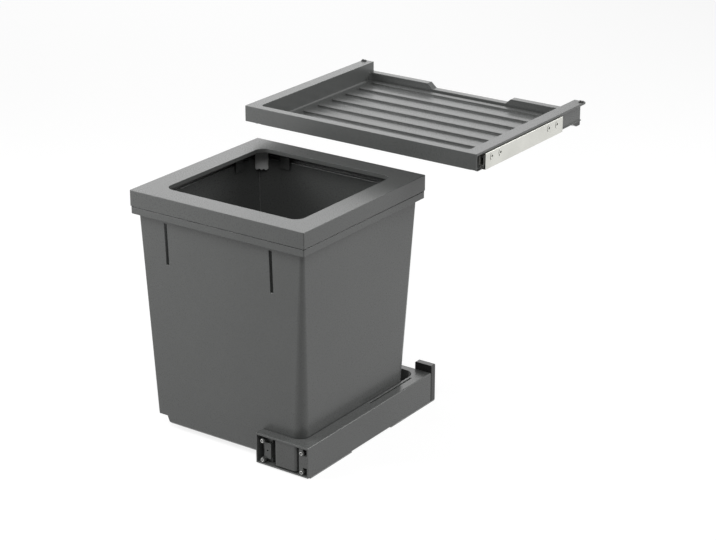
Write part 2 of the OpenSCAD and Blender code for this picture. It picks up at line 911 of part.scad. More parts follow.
module left_cabinet_member() { at_left() cabinet_member(); }
module left_middle_member() { steel() at_left() middle_member(tray_run_h, tray_run_len); }
module left_drawer_member() { steel() at_left() moving_member(tray_run_h, tray_run_len); }
module left_ball_cages() { at_left() ball_cages(tray_run_h, tray_run_len); }
module left_balls() { at_left() balls(tray_run_h, tray_run_len); }
module left_tray_screws() { at_left() run_screws(tray_run_len); }
module right_cabinet_member() { at_right() cabinet_member(); }
module right_middle_member() { steel() at_right() middle_member(tray_run_h, tray_run_len); }
module right_drawer_member() { steel() at_right() moving_member(tray_run_h, tray_run_len); }
module right_ball_cages() { at_right() ball_cages(tray_run_h, tray_run_len); }
module right_balls() { at_right() balls(tray_run_h, tray_run_len); }
module right_tray_screws() { at_right() run_screws(tray_run_len); }

// Tray

module tray_body() {
    w = rail_span - 2 * flange_inset;
    body_front = basin_front - tray_wall;
    translate([tray_mid_x, (tray_front + tray_rear) / 2, tray_top - flange_t])
        rounded_slab(w, tray_d, flange_t, flange_r);
    box(
        tray_mid_x - w / 2 + flange_r, tray_mid_x + w / 2 - flange_r,
        tray_front, tray_front + tray_wall, tray_top - skirt_h, tray_top - flange_t
    );
    for (side = [-1, 1])
        translate([tray_mid_x + side * (w / 2 - flange_r), tray_front + flange_r, tray_top - skirt_h])
            cylinder(h = skirt_h - flange_t, r = flange_r);
    along_x(web_left, web_right)
        polygon([[body_front, tray_top - flange_edge], [body_front, floor_bottom + body_slope],
                 [body_front + body_slope, floor_bottom], [tray_rear, floor_bottom],
                 [tray_rear, tray_top - flange_edge]]);
    box(
        web_left - web_lip_w, web_right + web_lip_w,
        body_front + body_slope, tray_rear, floor_bottom, floor_bottom + web_lip_h
    );
}

// Basin with rounded upright corners and a rounded foot along both sides
module basin() {
    w = basin_right - basin_left;
    d = basin_rear - basin_front;
    intersection() {
        translate([tray_mid_x, (basin_front + basin_rear) / 2, floor_top - over])
            rounded_slab(w, d, tray_deep + 2 * over, basin_r);
        translate([tray_mid_x, 0, floor_top + tray_deep]) along_y(basin_front - over, basin_rear + over)
            rounded_rect(w + over, 2 * tray_deep, basin_foot_r);
        along_x(basin_left - over, basin_right + over)
            polygon([[basin_front, tray_top + over], [basin_front, floor_top + body_slope - tray_wall / 2],
                     [basin_front + body_slope - tray_wall / 2, floor_top],
                     [basin_rear + over, floor_top], [basin_rear + over, tray_top + over]]);
    }
}

// Hollow undersides of the side walls, the front rim and the rear wall
module tray_hollows() {
    z0 = floor_bottom - over;
    side_top = tray_top - flange_t;
    rear_top = floor_top + rear_low_h - tray_wall;
    box(web_left + tray_wall, basin_left - tray_wall, basin_front, basin_rear, z0, side_top);
    box(basin_right + tray_wall, web_right - tray_wall, basin_front, basin_rear, z0, side_top);
    box(
        web_left + tray_wall, web_right - tray_wall,
        basin_rear + tray_wall, tray_rear - tray_wall, z0, rear_top
    );
}

// Upper outline of the rear wall: high at both sides and low in a stretch left of the middle
module rear_cut() {
    low_x0 = web_left + rear_low_from;
    low_x1 = low_x0 + rear_low_w;
    high_z = floor_top + rear_wall_h;
    low_z = floor_top + rear_low_h;
    along_y(basin_rear - basin_r, tray_rear + over)
        polygon([[basin_left, tray_top + over], [basin_left, high_z], [low_x0 - rear_slope, high_z],
                 [low_x0, low_z], [low_x1, low_z], [low_x1 + rear_slope, high_z],
                 [basin_right, high_z], [basin_right, tray_top + over]]);
}

module rib(y) {
    w = basin_right - basin_left - 2 * rib_end_inset;
    translate([tray_mid_x, y + rib_w / 2, floor_top - over / 2]) linear_extrude(rib_h + over / 2) {
        square([w - rib_w, rib_w], center = true);
        for (side = [-1, 1]) translate([side * (w - rib_w) / 2, 0]) circle(rib_w / 2);
    }
}

module tray() {
    color([0.44, 0.45, 0.44]) {
        difference() {
            tray_body();
            basin();
            tray_hollows();
            rear_cut();
            at_left() tray_screw_holes();
            at_right() tray_screw_holes();
            for (side = [0, 1]) at_rear_corner(side) clip_pegs(clip_peg_r + race_clear, over);
        }
        for (i = [0:rib_count - 1])
            rib(basin_rear - rib_back - rib_w - i * rib_pitch);
    }
}

module tray_screw_holes() {
    for (y = screw_places(0, tray_run_len))
        rod_x(run_t - over, run_t + tray_wall + over, y, 0, run_screw_r + race_clear);
}

// Rear corners: x = 0 is the side wall's outer face, y = 0 the tray's rear edge, z = 0 the tray's top

module at_rear_corner(side) {
    translate([side == 0 ? web_left : web_right, tray_rear, tray_top])
        mirror([side == 0 ? 1 : 0, 0, 0]) children();
}

// Block under the corner, held by a grip that stands in the side wall's hollow
module rear_catch() {
    wall_w = flange_w - run_t;
    z0 = -tray_deep - tray_wall - catch_gap;
    color([0.10, 0.10, 0.10]) {
        translate([0, 0, z0]) rotate([90, 0, -90]) linear_extrude(wall_w)
            polygon([[0, 0], [catch_l, 0], [catch_l, -catch_nose],
                     [catch_l - catch_slope, -catch_h], [0, -catch_h]]);
        box(
            -wall_w + tray_wall + catch_gap, -tray_wall - catch_gap,
            -catch_l, -rear_wall_t - catch_gap, z0, z0 + catch_grip_h
        );
    }
}

module clip_pegs(r, extra) {
    for (i = [0, 1])
        translate([
            clip_from_web + clip_plate_w / 4 + i * clip_plate_w / 2,
            -clip_back - clip_plate_d / 2, -flange_t - extra
        ]) cylinder(h = flange_t + extra + over / 2, r = r);
}

module flange_clip() {
    mid = [clip_from_web + clip_plate_w / 2, -clip_back - clip_plate_d / 2, 0];
    color([0.10, 0.10, 0.10]) {
        translate(mid) rounded_slab(clip_plate_w, clip_plate_d, clip_plate_t, clip_plate_r);
        for (side = [-1, 1])
            translate(mid + [side * clip_plate_w / 4, 0, 0]) cylinder(h = clip_bump_h, r = clip_bump_r);
        clip_pegs(clip_peg_r, 0);
    }
}

module left_rear_catch() { at_rear_corner(0) rear_catch(); }
module right_rear_catch() { at_rear_corner(1) rear_catch(); }
module left_flange_clip() { at_rear_corner(0) flange_clip(); }
module right_flange_clip() { at_rear_corner(1) flange_clip(); }

bag_frame();
corner_clips();
bin();
carriage_housing();
front_block();
left_front_bracket();
right_front_bracket();
bracket_bushes();
bracket_screws();
base_rail();
rear_stop();
stop_screws();
base_fixed_member();
base_middle_member();
base_moving_member();
base_ball_cages();
base_balls();
base_rail_rivets();
carriage_screws();
tray();
left_cabinet_member();
left_middle_member();
left_drawer_member();
left_ball_cages();
left_balls();
left_tray_screws();
left_rear_catch();
left_flange_clip();
right_cabinet_member();
right_middle_member();
right_drawer_member();
right_ball_cages();
right_balls();
right_tray_screws();
right_rear_catch();
right_flange_clip();
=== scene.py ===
import json
from math import radians

import bpy
from mathutils import Matrix, Vector


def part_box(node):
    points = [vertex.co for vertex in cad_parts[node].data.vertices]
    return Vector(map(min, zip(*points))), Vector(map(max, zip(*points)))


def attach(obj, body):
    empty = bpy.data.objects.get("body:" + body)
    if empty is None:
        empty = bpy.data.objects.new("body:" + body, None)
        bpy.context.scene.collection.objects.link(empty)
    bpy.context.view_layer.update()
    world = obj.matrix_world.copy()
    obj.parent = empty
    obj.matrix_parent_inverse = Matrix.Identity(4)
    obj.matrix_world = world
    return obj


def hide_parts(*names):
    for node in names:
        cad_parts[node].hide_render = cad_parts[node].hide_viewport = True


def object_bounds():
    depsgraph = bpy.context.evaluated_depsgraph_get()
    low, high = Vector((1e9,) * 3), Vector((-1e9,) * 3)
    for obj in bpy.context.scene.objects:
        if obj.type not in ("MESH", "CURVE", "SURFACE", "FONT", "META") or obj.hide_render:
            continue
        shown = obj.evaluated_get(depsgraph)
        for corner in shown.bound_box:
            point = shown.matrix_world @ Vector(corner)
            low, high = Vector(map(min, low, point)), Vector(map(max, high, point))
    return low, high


bl_info = {
    "name": "Pull Out Waste Bin Fitting",
    "version": (1, 0, 0),
    "blender": (4, 5, 0),
    "location": "View3D > Sidebar > Fitting",
    "description": "Dresses the packed frame of a pull out waste bin and its tray",
    "category": "Object",
}

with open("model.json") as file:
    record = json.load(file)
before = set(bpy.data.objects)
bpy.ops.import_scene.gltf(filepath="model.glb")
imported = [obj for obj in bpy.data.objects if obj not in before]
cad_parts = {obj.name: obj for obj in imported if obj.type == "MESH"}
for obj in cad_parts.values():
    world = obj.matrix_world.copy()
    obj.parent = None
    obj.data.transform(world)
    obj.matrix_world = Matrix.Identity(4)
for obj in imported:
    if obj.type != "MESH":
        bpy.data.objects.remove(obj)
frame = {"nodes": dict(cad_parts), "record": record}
CAD_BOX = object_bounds()
NODES = frame["nodes"]
BODY_OF = {
    node: body
    for body, members in frame["record"]["behaviour"]["bodies"].items()
    for node in members
}
SLOT_OF = {part["node"]: part["material_slot"] for part in frame["record"]["subparts"]}

# How near a place counts as the same, and the overrun of every cut
NEAR = 1e-5
OVER = 0.004

# Turns between two faces: most within one flat, least at a sharp edge, most that is shaded smooth
FLAT_TURN = radians(0.5)
SHARP_TURN = radians(35)
SMOOTH_TURN = radians(40)
BALL_SMOOTH_TURN = radians(70)

# How much the shading of an edge's round follows the large faces beside it
NORMAL_WEIGHT = 80

# Height of the bin's collar over its rim, and how far in from the bin's sides the rim's corners curve
COLLAR_H = 0.004
RIM_REACH = 0.0025

# Mounting holes of a cabinet member: height over its middle, place from either end, distance apart
HOLE_RISE = 0.0045
HOLE_INSET = 0.0195
HOLE_PITCH = 0.0268

# How far in front of its hole an arc starts, as a share of its radius, and the sides of its disc
ARC_SHARE = 0.45
ARC_SIDES = 40

# Floor: its size, its tone for soft light, its tone and glow as seen, and how much of that is glow
FLOOR_SIZE = 24
FLOOR_SOFT_TONE = 0.42
FLOOR_PALE_TONE = 0.95
FLOOR_GLOW = 1.1
FLOOR_GLOW_SHARE = 0.75

# Side of each square lamp, and where it stands from the middle of the part
LAMPS = {
    "front": (1.0, (0.9, -1.3, 1.9)),
    "left": (1.1, (-1.2, -0.93, 0.5)),
    "high_left": (1.0, (-1.2, -1.0, 1.2)),
    "right": (1.4, (1.75, 1.2, 1.3)),
    "back": (2.45, (-2.1, 2.1, 1.3)),
}

# Width of the camera's sensor in millimetres, and the distances between which it sees
SENSOR_WIDTH = 36
CLIP_START = 0.05
CLIP_END = 60


# Settings

class FittingColours(bpy.types.PropertyGroup):
    """Colours of the fitting's materials."""

    moulding: bpy.props.FloatVectorProperty(
        name="Moulding", description="Bin, bag frame and carriage housing",
        subtype="COLOR", size=3, min=0, max=1, default=(0.088, 0.091, 0.089))
    tray: bpy.props.FloatVectorProperty(
        name="Tray", description="Pull out tray",
        subtype="COLOR", size=3, min=0, max=1, default=(0.088, 0.091, 0.089))
    clip: bpy.props.FloatVectorProperty(
        name="Clips", description="Corner clips under the bag frame",
        subtype="COLOR", size=3, min=0, max=1, default=(0.55, 0.555, 0.55))
    bracket: bpy.props.FloatVectorProperty(
        name="Brackets", description="Block and brackets in the carriage's front end",
        subtype="COLOR", size=3, min=0, max=1, default=(0.078, 0.080, 0.078))
    black: bpy.props.FloatVectorProperty(
        name="Black plastic", description="Rear stop, catches, flange clips and ball cages",
        subtype="COLOR", size=3, min=0, max=1, default=(0.022, 0.022, 0.022))
    paint: bpy.props.FloatVectorProperty(
        name="Powder coat", description="Base rail",
        subtype="COLOR", size=3, min=0, max=1, default=(0.26, 0.265, 0.26))
    nickel: bpy.props.FloatVectorProperty(
        name="Nickel", description="Sheet steel of the telescopic runners",
        subtype="COLOR", size=3, min=0, max=1, default=(0.60, 0.60, 0.56))
    zinc: bpy.props.FloatVectorProperty(
        name="Zinc", description="Bushes, bright screws, rivets and balls",
        subtype="COLOR", size=3, min=0, max=1, default=(0.60, 0.60, 0.585))
    blackened: bpy.props.FloatVectorProperty(
        name="Blackened steel", description="Socket screws in the front brackets",
        subtype="COLOR", size=3, min=0, max=1, default=(0.05, 0.05, 0.052))


class FittingEdges(bpy.types.PropertyGroup):
    """How far the edges of each kind of part are broken."""

    housing: bpy.props.FloatProperty(
        name="Housing", description="Edge break of the carriage housing",
        unit="LENGTH", min=0.0001, max=0.0012, default=0.0008)
    moulding: bpy.props.FloatProperty(
        name="Bin, tray and stop", description="Edge break of the bin, the tray and the rear stop",
        unit="LENGTH", min=0.0001, max=0.0006, default=0.0005)
    fitting: bpy.props.FloatProperty(
        name="Fittings", description="Edge break of the bag frame, clips, brackets and catches",
        unit="LENGTH", min=0.0001, max=0.0008, default=0.0003)
    steel: bpy.props.FloatProperty(
        name="Steel", description="Edge break of the runners, base rail, bushes, rivets and screws",
        unit="LENGTH", min=0.00005, max=0.0004, default=0.0002)


class FittingDetails(bpy.types.PropertyGroup):
    """Sizes of the seam under the bag frame and of the folds and arcs of the tray's runners."""

    seam: bpy.props.FloatProperty(
        name="Seam", description="Height and depth of the rebate along the top of the bin's rim",
        unit="LENGTH", min=0.0005, max=0.002, default=0.0014)
    fold_radius: bpy.props.FloatProperty(
        name="Fold radius", description="Rounding of a cabinet member's long outer edges",
        unit="LENGTH", min=0.0002, max=0.0011, default=0.001)
    arc_radius: bpy.props.FloatProperty(
        name="Arc radius", description="Radius of the arc cut in front of each mounting hole",
        unit="LENGTH", min=0.003, max=0.008, default=0.0062)
    arc_width: bpy.props.FloatProperty(
        name="Arc width", description="Width of the arcs",
        unit="LENGTH", min=0.0003, max=0.0024, default=0.0014)
    arc_depth: bpy.props.FloatProperty(
        name="Arc depth", description="Depth of the arcs, which go right through the sheet",
        unit="LENGTH", min=0.0001, max=0.003, default=0.002)


class FittingStage(bpy.types.PropertyGroup):
    """Lamps, sky and camera."""

    front: bpy.props.FloatProperty(
        name="Front lamp", description="Power of the high lamp in front, which shines into the bin",
        unit="POWER", min=0, max=2000, default=20)
    left: bpy.props.FloatProperty(
        name="Left lamp", description="Power of the soft lamp close by on the left",
        unit="POWER", min=0, max=2000, default=15)
    high_left: bpy.props.FloatProperty(
        name="High left lamp", description="Power of the soft lamp higher up on the left",
        unit="POWER", min=0, max=2000, default=10)
    right: bpy.props.FloatProperty(
        name="Right lamp", description="Power of the soft lamp high on the right",
        unit="POWER", min=0, max=2000, default=37)
    back: bpy.props.FloatProperty(
        name="Back lamp", description="Power of the low lamp that the upward faces mirror",
        unit="POWER", min=0, max=2000, default=17)
    sky: bpy.props.FloatProperty(
        name="Sky", description="Level of the even light from all round",
        subtype="FACTOR", min=0, max=2, default=0.16)
    lens: bpy.props.FloatProperty(
        name="Lens", description="Focal length on a 36 mm wide sensor",
        unit="CAMERA", min=20, max=300, default=103.44)
    azimuth: bpy.props.FloatProperty(
        name="Azimuth", description="How far round to the right the camera stands",
        subtype="ANGLE", unit="ROTATION", default=radians(34.99))
    elevation: bpy.props.FloatProperty(
        name="Elevation", description="How far the camera looks down",
        subtype="ANGLE", unit="ROTATION", default=radians(21.40))
    roll: bpy.props.FloatProperty(
        name="Roll", description="How far the camera is turned about its line of sight",
        subtype="ANGLE", unit="ROTATION", default=radians(0.06))
    place: bpy.props.FloatVectorProperty(
        name="Camera place", description="Where the camera stands",
        subtype="TRANSLATION", unit="LENGTH", size=3, default=(1.7881, -2.5446, 1.5150))


# Selecting and finishing

def work_on(piece):
    """Deselects everything but the piece and makes it the active one."""
    bpy.ops.object.select_all(action="DESELECT")
    piece.select_set(True)
    bpy.context.view_layer.objects.active = piece


def apply_modifier(piece, kind, **settings):
    """Adds a modifier of that kind with those settings and makes it part of the mesh."""
    modifier = piece.modifiers.new(kind.title(), kind)
    for name, value in settings.items():
        setattr(modifier, name, value)
    work_on(piece)
    bpy.ops.object.modifier_apply(modifier=modifier.name)


def select_sharp_edges(piece, chosen):
    """Leaves the piece in edit mode with those sharp edges selected whose two ends are both chosen."""
    work_on(piece)
    bpy.ops.object.mode_set(mode="EDIT")
    bpy.ops.mesh.select_mode(type="EDGE")
    bpy.ops.mesh.select_all(action="DESELECT")
    bpy.ops.mesh.edges_select_sharp(sharpness=SHARP_TURN)
    bpy.ops.object.mode_set(mode="OBJECT")
    mesh = piece.data
    for edge in mesh.edges:
        edge.select = edge.select and all(chosen(mesh.vertices[i].co) for i in edge.vertices)
    bpy.ops.object.mode_set(mode="EDIT")


def break_edges(piece, width):
    """Gives every sharp edge a small round of two faces."""
    apply_modifier(
        piece, "BEVEL", width=width, segments=2, limit_method="ANGLE",
        angle_limit=SHARP_TURN, use_clamp_overlap=False)


def keep_inside(piece, node):
    """Puts vertices that a broken edge has pushed out of the CAD node's box back on its faces."""
    low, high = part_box(node)
    for vertex in piece.data.vertices:
        vertex.co = [min(max(c, least), most) for c, least, most in zip(vertex.co, low, high)]


def add_block(low, high):
    """Box between two corners, with its place in its mesh."""
    low, high = Vector(low), Vector(high)
    bpy.ops.object.select_all(action="DESELECT")
    bpy.ops.mesh.primitive_cube_add(
        size=1, location=(low + high) / 2, scale=high - low, calc_uvs=False)
    bpy.ops.object.transform_apply(location=True, rotation=True, scale=True)
    return bpy.context.active_object


def add_disc(x0, x1, y, z, radius):
    """Round disc that lies across the x axis, with its place in its mesh."""
    bpy.ops.object.select_all(action="DESELECT")
    bpy.ops.mesh.primitive_cylinder_add(
        vertices=ARC_SIDES, radius=radius, depth=x1 - x0, location=((x0 + x1) / 2, y, z),
        rotation=(0, radians(90), 0), calc_uvs=False)
    bpy.ops.object.transform_apply(location=True, rotation=True, scale=True)
    return bpy.context.active_object


def cut_away(piece, cutter):
    """Takes the cutter's shape out of the piece and removes the cutter."""
    apply_modifier(piece, "BOOLEAN", operation="DIFFERENCE", solver="EXACT", object=cutter)
    bpy.data.objects.remove(cutter)


def smooth(piece, turn=SMOOTH_TURN):
    """Shades the piece smooth across edges that turn by less, with the large faces kept flat."""
    work_on(piece)
    bpy.ops.object.shade_smooth_by_angle(angle=turn)
    apply_modifier(piece, "WEIGHTED_NORMAL", keep_sharp=True, weight=NORMAL_WEIGHT)


def merged_copy(node, name, shaped=None):
    """Copy of a CAD node's mesh, shaped further, with its loose triangles joined into whole faces."""
    piece = bpy.data.objects.new(name, NODES[node].data.copy())
    piece.data.name = name
    bpy.context.scene.collection.objects.link(piece)
    work_on(piece)
    bpy.ops.object.mode_set(mode="EDIT")
    bpy.ops.mesh.select_all(action="SELECT")
    bpy.ops.mesh.remove_doubles(threshold=NEAR)
    bpy.ops.object.mode_set(mode="OBJECT")
    if shaped:
        shaped(piece)
    work_on(piece)
    bpy.ops.object.mode_set(mode="EDIT")
    bpy.ops.mesh.select_all(action="SELECT")
    bpy.ops.mesh.dissolve_limited(angle_limit=FLAT_TURN)
    bpy.ops.object.mode_set(mode="OBJECT")
    return piece


def finish_piece(piece, node):
    """Splits a piece's many-sided faces, gives it its material and its body, and hides its CAD node."""
    apply_modifier(piece, "TRIANGULATE", min_vertices=5, keep_custom_normals=True)
    piece.data.materials.clear()
    piece.data.materials.append(material_for(node))
    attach(piece, BODY_OF[node])
    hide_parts(node)


def dress(node, name, width, shaped=None):
    """Edge-broken piece in place of a CAD node, shaped further before its edges are broken."""
    piece = merged_copy(node, name, shaped)
    break_edges(piece, width)
    if shaped:
        keep_inside(piece, node)
    smooth(piece)
    finish_piece(piece, node)


# Materials

class Shader:
    """Node tree of one material, with its Principled shader."""

    def __init__(self, name):
        self.material = bpy.data.materials.new(name)
        self.material.use_nodes = True
        self.nodes = self.material.node_tree.nodes
        self.links = self.material.node_tree.links
        self.surface = self.nodes["Principled BSDF"]
        self.place = self.nodes.new("ShaderNodeTexCoord").outputs["Object"]

    def stretched(self, scale):
        """Place on the piece, scaled apart along each axis."""
        mapping = self.nodes.new("ShaderNodeMapping")
        mapping.inputs["Scale"].default_value = scale
        self.links.new(self.place, mapping.inputs["Vector"])
        return mapping.outputs["Vector"]

    def noise(self, scale, detail=2.0, roughness=0.5, vector=None):
        """Noise over the piece, in detail of that many octaves."""
        texture = self.nodes.new("ShaderNodeTexNoise")
        texture.inputs["Scale"].default_value = scale
        texture.inputs["Detail"].default_value = detail
        texture.inputs["Roughness"].default_value = roughness
        self.links.new(vector or self.place, texture.inputs["Vector"])
        return texture.outputs["Fac"]

    def tint(self, factor, colour, spread):
        """Colour that goes from darker to lighter by the spread as the factor rises."""
        ramp = self.nodes.new("ShaderNodeValToRGB")
        stops = ((0.3, 1 - spread), (0.7, 1 + spread))
        for stop, (position, share) in zip(ramp.color_ramp.elements, stops):
            stop.position = position
            stop.color = [min(1.0, c * share) for c in colour] + [1.0]
        self.links.new(factor, ramp.inputs["Fac"])
        return ramp.outputs["Color"]

    def span(self, factor, low, high):
        """Value from low to high over the middle half of the factor's range."""
        node = self.nodes.new("ShaderNodeMapRange")
        node.inputs["From Min"].default_value = 0.25
        node.inputs["From Max"].default_value = 0.75
        node.inputs["To Min"].default_value = low
        node.inputs["To Max"].default_value = high
        self.links.new(factor, node.inputs["Value"])
        return node.outputs["Result"]

    def bump(self, height, strength, distance, after=None):
        """Surface direction that follows the height, on top of an earlier one."""
        node = self.nodes.new("ShaderNodeBump")
        node.inputs["Strength"].default_value = strength
        node.inputs["Distance"].default_value = distance
        self.links.new(height, node.inputs["Height"])
        if after:
            self.links.new(after, node.inputs["Normal"])
        return node.outputs["Normal"]

    def feed(self, **sources):
        """Links each source to the shader's input of that name."""
        for name, source in sources.items():
            self.links.new(source, self.surface.inputs[name.replace("_", " ")])

    def set(self, **values):
        """Sets the shader's inputs of those names."""
        for name, value in values.items():
            self.surface.inputs[name.replace("_", " ")].default_value = value


def moulded_plastic(name, colour):
    """Finely spark-grained moulding with a faint flow mottle."""
    shader = Shader(name)
    flow = shader.noise(scale=9, detail=3, roughness=0.55)
    fine = shader.noise(scale=1900, detail=2, roughness=0.6)
    pores = shader.noise(scale=620, detail=1, roughness=0.5)
    pitted = shader.bump(pores, strength=0.015, distance=0.0002)
    shader.feed(
        Base_Color=shader.tint(flow, colour, spread=0.035),
        Roughness=shader.span(pores, low=0.25, high=0.33),
        Normal=shader.bump(fine, strength=0.03, distance=0.00012, after=pitted))
    shader.set(IOR=1.45)
    return shader.material


def brushed_nickel(name, colour):
    """Rolled sheet steel with nickel plating, drawn along its length."""
    shader = Shader(name)
    drawn = shader.stretched(scale=(1500, 14, 1500))
    streaks = shader.noise(scale=1, detail=4, roughness=0.65, vector=drawn)
    clouds = shader.noise(scale=22, detail=2)
    shader.feed(
        Base_Color=shader.tint(clouds, colour, spread=0.05),
        Roughness=shader.span(streaks, low=0.26, high=0.46),
        Normal=shader.bump(streaks, strength=0.10, distance=0.00008))
    shader.set(Metallic=1.0)
    return shader.material


def bright_zinc(name, colour, low=0.2, high=0.34):
    """Bright plating with fine crystals, whose roughness goes from low to high."""
    shader = Shader(name)
    crystals = shader.noise(scale=900, detail=2)
    shader.feed(
        Base_Color=shader.tint(shader.noise(scale=240), colour, spread=0.06),
        Roughness=shader.span(crystals, low, high),
        Normal=shader.bump(crystals, strength=0.06, distance=0.00005))
    shader.set(Metallic=1.0)
    return shader.material


def polished_steel(name, colour):
    """Steel of the balls, ground and polished."""
    return bright_zinc(name, colour, low=0.08, high=0.14)


def powder_coat(name, colour):
    """Grey powder coat with its orange peel."""
    shader = Shader(name)
    peel = shader.noise(scale=420, detail=1)
    shader.feed(
        Base_Color=shader.tint(shader.noise(scale=60), colour, spread=0.04),
        Roughness=shader.span(shader.noise(scale=150), low=0.42, high=0.55),
        Normal=shader.bump(peel, strength=0.25, distance=0.0002))
    return shader.material


# What makes each slot's material, its name, and its colour among the settings
MAKERS = {
    "grey_plastic": (moulded_plastic, "anthracite_moulding", "moulding"),
    "tray_plastic": (moulded_plastic, "tray_moulding", "tray"),
    "clip_plastic": (moulded_plastic, "clip_moulding", "clip"),
    "bracket_plastic": (moulded_plastic, "bracket_moulding", "bracket"),
    "black_plastic": (moulded_plastic, "black_moulding", "black"),
    "rail_steel": (powder_coat, "grey_powder_coat", "paint"),
    "runner_steel": (brushed_nickel, "brushed_nickel", "nickel"),
    "screw_steel": (bright_zinc, "bright_zinc", "zinc"),
    "socket_steel": (powder_coat, "blackened_steel", "blackened"),
    "ball_steel": (polished_steel, "polished_steel", "zinc"),
}
MATERIALS = {}


def material_for(node):
    """Material of a CAD node's slot, made once."""
    slot = SLOT_OF[node]
    if slot not in MATERIALS:
        make, name, colour = MAKERS[slot]
        MATERIALS[slot] = make(name, getattr(bpy.context.scene.fitting_colours, colour))
    return MATERIALS[slot]


# Pieces

class FITTING_OT_bag_frame(bpy.types.Operator):
    """Make the bag frame and its corner clips"""
    bl_idname = "fitting.bag_frame"
    bl_label = "Bag Frame"

    def execute(self, context):
        edges = context.scene.fitting_edges
        dress("bag_frame", "bag_frame_moulding", edges.fitting)
        dress("corner_clips", "corner_clip_set", edges.fitting)
        return {"FINISHED"}


def cut_seam(piece):
    """Rebate along the upper outer edge of the bin's rim, which shows as a seam under the bag frame."""
    low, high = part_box("bin")
    rim_top = high.z - COLLAR_H

    def on_outer_edge(end):
        reach = min(end.x - low.x, high.x - end.x, end.y - low.y, high.y - end.y)
        return abs(end.z - rim_top) < NEAR and reach < RIM_REACH

    select_sharp_edges(piece, on_outer_edge)
    bpy.ops.mesh.bevel(
        offset=bpy.context.scene.fitting_details.seam, segments=2, profile=0, affect="EDGES")
    bpy.ops.object.mode_set(mode="OBJECT")


class FITTING_OT_bin(bpy.types.Operator):
    """Make the bin"""
    bl_idname = "fitting.bin"
    bl_label = "Bin"

    def execute(self, context):
        edges = context.scene.fitting_edges
        dress("bin", "bin_moulding", edges.moulding, cut_seam)
        return {"FINISHED"}


class FITTING_OT_housing(bpy.types.Operator):
    """Make the carriage housing and the fittings in its front end"""
    bl_idname = "fitting.housing"
    bl_label = "Carriage Housing"

    def execute(self, context):
        edges = context.scene.fitting_edges
        dress("carriage_housing", "housing_moulding", edges.housing)
        for node in ("front_block", "left_front_bracket", "right_front_bracket"):
            dress(node, node + "_moulding", edges.fitting)
        for node in ("bracket_bushes", "bracket_screws"):
            dress(node, node + "_set", edges.steel)
        return {"FINISHED"}


class FITTING_OT_base_rail(bpy.types.Operator):
    """Make the base rail, the stop behind the carriage and their screws"""
    bl_idname = "fitting.base_rail"
    bl_label = "Base Rail"

    def execute(self, context):
        edges = context.scene.fitting_edges
        dress("base_rail", "base_rail_sheet", edges.steel)
        dress("rear_stop", "rear_stop_moulding", edges.moulding)
        for node in ("stop_screws", "base_rail_rivets", "carriage_screws"):
            dress(node, node + "_set", edges.steel)
        return {"FINISHED"}


def round_long_edges(piece, low, high, outer_x):
    """Rounds the two long outer edges of a cabinet member, as its sheet is folded there."""
    def on_fold(end):
        return abs(end.x - outer_x) < NEAR and min(abs(end.z - low.z), abs(end.z - high.z)) < NEAR

    select_sharp_edges(piece, on_fold)
    bpy.ops.mesh.bevel(
        offset=bpy.context.scene.fitting_details.fold_radius, segments=3, affect="EDGES")
    bpy.ops.object.mode_set(mode="OBJECT")


def mark_holes(piece, low, high, outer_x, inward):
    """Cuts an arc in front of each mounting hole of a cabinet member."""
    details = bpy.context.scene.fitting_details
    radius, half = details.arc_radius, details.arc_width / 2
    clear = 3 * radius
    x0, x1 = sorted((outer_x - inward * OVER, outer_x + inward * details.arc_depth))
    z = (low.z + high.z) / 2 + HOLE_RISE
    for end, step in ((low.y, 1), (high.y, -1)):
        for reach in (HOLE_INSET, HOLE_INSET + HOLE_PITCH):
            y = end + step * reach
            arc = add_disc(x0, x1, y, z, radius + half)
            cut_away(arc, add_disc(x0 - OVER, x1 + OVER, y, z, radius - half))
            cut_away(arc, add_block(
                (x0 - OVER, y - radius * ARC_SHARE, z - clear), (x1 + OVER, y + clear, z + clear)))
            cut_away(piece, arc)


def shape_cabinet_member(piece):
    """Arcs and rounded folds of the tray runner's member that faces the cabinet's side."""
    low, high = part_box(piece.data.name.replace("_sheet", ""))
    outer_x, inward = (low.x, 1) if piece.data.name.startswith("left") else (high.x, -1)
    mark_holes(piece, low, high, outer_x, inward)
    round_long_edges(piece, low, high, outer_x)


class FITTING_OT_runners(bpy.types.Operator):
    """Make the members, ball cages and balls of the three telescopic runners"""
    bl_idname = "fitting.runners"
    bl_label = "Telescopic Runners"

    def execute(self, context):
        edges = context.scene.fitting_edges
        members = {
            "base": ("fixed_member", "middle_member", "moving_member"),
            "left": ("cabinet_member", "middle_member", "drawer_member"),
            "right": ("cabinet_member", "middle_member", "drawer_member"),
        }
        for place, names in members.items():
            for member in names:
                node = f"{place}_{member}"
                shaped = shape_cabinet_member if member == "cabinet_member" else None
                dress(node, node + "_sheet", edges.steel, shaped)
            cages, balls = f"{place}_ball_cages", f"{place}_balls"
            dress(cages, cages + "_set", edges.steel / 2)
            piece = merged_copy(balls, balls + "_set")
            smooth(piece, BALL_SMOOTH_TURN)
            finish_piece(piece, balls)
        return {"FINISHED"}


class FITTING_OT_tray(bpy.types.Operator):
    """Make the pull out tray, its screws and the catches at its rear corners"""
    bl_idname = "fitting.tray"
    bl_label = "Tray"

    def execute(self, context):
        edges = context.scene.fitting_edges
        dress("tray", "tray_moulding_piece", edges.moulding)
        for side in ("left", "right"):
            for node in (f"{side}_rear_catch", f"{side}_flange_clip"):
                dress(node, node + "_moulding", edges.fitting / 2)
            screws = f"{side}_tray_screws"
            dress(screws, screws + "_set", edges.steel)
        return {"FINISHED"}


# Stage

